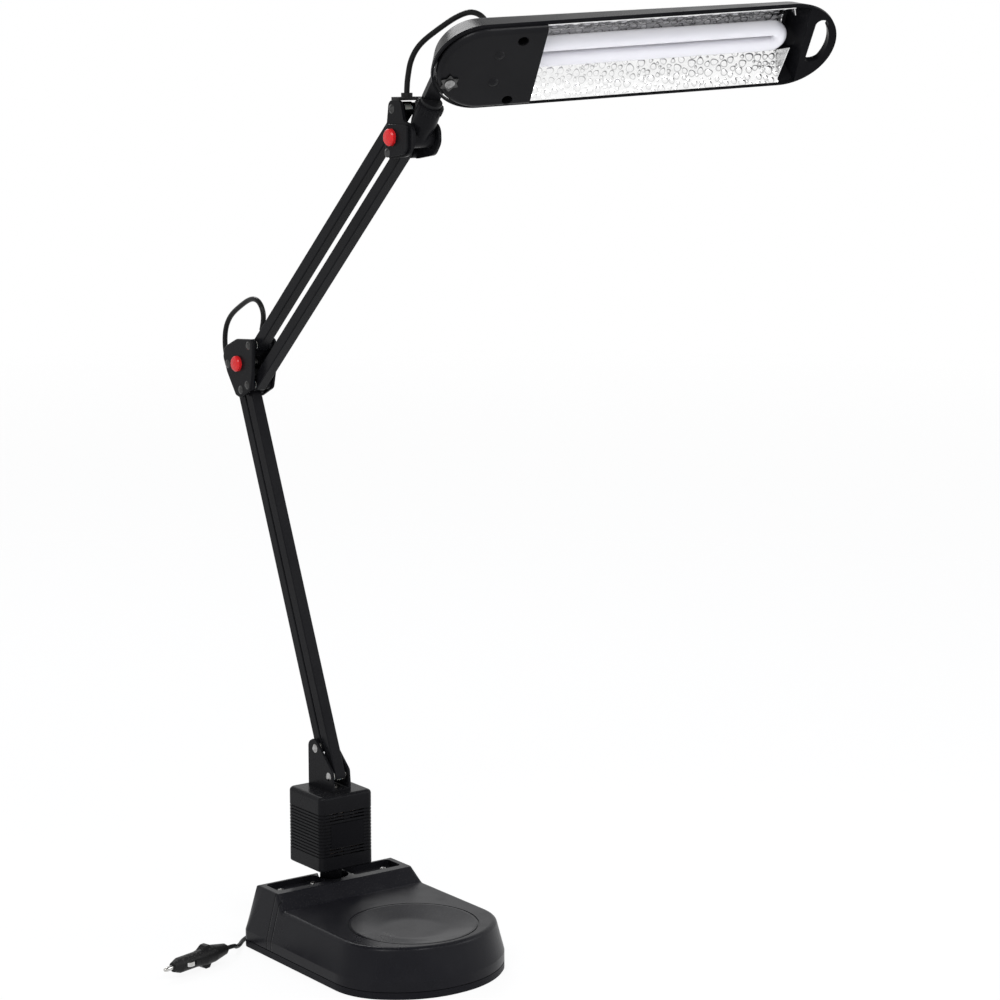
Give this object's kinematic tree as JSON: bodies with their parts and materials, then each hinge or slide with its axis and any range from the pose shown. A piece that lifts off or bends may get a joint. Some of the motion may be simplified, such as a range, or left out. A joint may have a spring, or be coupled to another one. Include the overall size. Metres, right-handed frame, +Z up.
{
  "type": "fluorescent desk lamp",
  "caption": "Desk lamp with a weighted tray base, a turning ballast case, two parallelogram arms of square tube and a long tilting head with a twin-tube fluorescent lamp.",
  "frame": {"origin": "on the underside of the base, on the axis that the ballast case turns about", "axes": "+Z up; the arms lie in the plane X = 0, their elbow to +Y (the rear) and the head to -Y and +X; the base points its dish to -Y"},
  "size_m": [0.4579, 0.4673, 0.7703],
  "materials": {
    "black_shell": "semi-gloss black moulded plastic",
    "black_steel": "satin black painted steel",
    "grey_steel": "black pressed steel",
    "red_cap": "glossy red plastic",
    "black_rubber": "matt black rubber or soft PVC",
    "bright_steel": "bright nickel-plated steel",
    "plain_steel": "plain steel",
    "iron": "rough cast iron",
    "core_steel": "varnished laminations and winding",
    "mirror_sheet": "bright hammered mirror sheet",
    "lamp_glass": "white phosphor-coated glass",
    "lamp_white": "white plastic",
    "label_black": "smooth dark label, blank",
    "bush_plastic": "grey low-friction plastic"
  },
  "bodies": {
    "base": {"base_plate": "black_shell", "base_shell": "black_shell", "base_weight": "iron", "foot_pads": "black_rubber", "base_screws": "plain_steel", "tray_screws": "bright_steel", "socket_bush": "bush_plastic", "cord_gland": "black_rubber", "cord_tail": "black_rubber", "cord_coil": "black_rubber", "supply_cord": "black_rubber", "plug_body": "black_shell", "plug_contacts": "bright_steel"},
    "case": {"neck_spigot": "black_steel", "spigot_clip": "plain_steel", "ballast_case": "black_shell", "label_plate": "label_black", "case_lid": "black_shell", "ballast": "core_steel", "arm_bracket": "grey_steel", "bracket_screws": "bright_steel", "bracket_pins": "bright_steel"},
    "lower_front": {"lower_front_bar": "black_steel", "lower_front_bar_bushes": "bush_plastic"},
    "lower_rear": {"lower_rear_bar": "black_steel", "lower_rear_bar_bushes": "bush_plastic"},
    "elbow": {"elbow_shell_left": "black_shell", "elbow_shell_right": "black_shell", "elbow_pins": "bright_steel", "elbow_bolt": "plain_steel", "elbow_nut": "bright_steel", "elbow_cap": "red_cap", "elbow_cable": "black_rubber"},
    "upper_front": {"upper_front_bar": "black_steel", "upper_front_bar_bushes": "bush_plastic"},
    "upper_rear": {"upper_rear_bar": "black_steel", "upper_rear_bar_bushes": "bush_plastic"},
    "wrist": {"wrist_plate_left": "black_shell", "wrist_plate_right": "black_shell", "wrist_pins": "bright_steel", "wrist_bolt": "plain_steel", "wrist_nut": "bright_steel", "wrist_cap": "red_cap", "cable_boot": "black_rubber", "head_cable": "black_rubber"},
    "knuckle": {"neck_knuckle": "black_shell"},
    "neck": {"neck_stem": "grey_steel"},
    "head": {"head_housing": "black_shell", "end_cover": "black_shell", "cover_screws": "plain_steel", "pivot_screw": "bright_steel", "pivot_star": "black_shell", "reflector": "mirror_sheet", "lampholder": "lamp_white", "lamp_base": "lamp_white", "lamp_tube": "lamp_glass", "switch_frame": "black_shell", "cable_grommet": "black_rubber"},
    "switch": {"switch_rocker": "black_shell"},
    "plug_tip": {"plug_pin": "bright_steel"}
  },
  "joints": [
    {"name": "base_swivel", "type": "hinge", "parent": "base", "child": "case", "pos_m": [0, 0, 0.045], "axis": [0, 0, 1], "range_deg": [-170, 170]},
    {"name": "lower_arm_tilt", "type": "hinge", "parent": "case", "child": "lower_front", "pos_m": [0, -0.0115, 0.1387], "axis": [1, 0, 0], "range_deg": [-2, 62], "deforming": ["elbow_cable"]},
    {"name": "lower_rear_tilt", "type": "hinge", "parent": "case", "child": "lower_rear", "pos_m": [0, 0.0089, 0.1587], "axis": [1, 0, 0], "range_deg": [-2, 62]},
    {"name": "elbow_level", "type": "hinge", "parent": "lower_front", "child": "elbow", "pos_m": [0, 0.11412, 0.44807], "axis": [1, 0, 0], "range_deg": [-62, 2]},
    {"name": "upper_arm_tilt", "type": "hinge", "parent": "elbow", "child": "upper_front", "pos_m": [0, 0.10382, 0.45317], "axis": [1, 0, 0], "range_deg": [-24, 60], "deforming": ["elbow_cable"]},
    {"name": "upper_rear_tilt", "type": "hinge", "parent": "elbow", "child": "upper_rear", "pos_m": [0, 0.10092, 0.48667], "axis": [1, 0, 0], "range_deg": [-24, 60]},
    {"name": "wrist_level", "type": "hinge", "parent": "upper_front", "child": "wrist", "pos_m": [0, -0.11346, 0.65579], "axis": [1, 0, 0], "range_deg": [-60, 24]},
    {"name": "neck_tilt", "type": "hinge", "parent": "wrist", "child": "knuckle", "pos_m": [0, -0.13286, 0.66809], "axis": [1, 0, 0], "range_deg": [-8, 60], "deforming": ["head_cable"]},
    {"name": "neck_swivel", "type": "hinge", "parent": "knuckle", "child": "neck", "pos_m": [0, -0.13286, 0.66809], "axis": [0, -0.5569, 0.8306], "range_deg": [-45, 45], "deforming": ["head_cable"]},
    {"name": "head_turn", "type": "hinge", "parent": "neck", "child": "head", "pos_m": [0, -0.168, 0.7205], "axis": [-0.2446, -0.7341, -0.6335], "range_deg": [-24, 30], "deforming": ["head_cable"]},
    {"name": "switch_rock", "type": "hinge", "parent": "head", "child": "switch", "pos_m": [0.01575, -0.17201, 0.73485], "axis": [-0.9292, 0.3641, -0.0631], "range_deg": [0, 18]},
    {"name": "plug_tip_press", "type": "slide", "parent": "base", "child": "plug_tip", "axis": [0.9676, 0.2524, 0], "range_m": [0, 0.003], "stiffness_N_per_m": 600, "springref_m": -0.002}
  ],
  "couplings": [
    {"joint": "lower_rear_tilt", "follows": "lower_arm_tilt", "ratio": 1},
    {"joint": "elbow_level", "follows": "lower_arm_tilt", "ratio": -1},
    {"joint": "upper_rear_tilt", "follows": "upper_arm_tilt", "ratio": 1},
    {"joint": "wrist_level", "follows": "upper_arm_tilt", "ratio": -1}
  ]
}
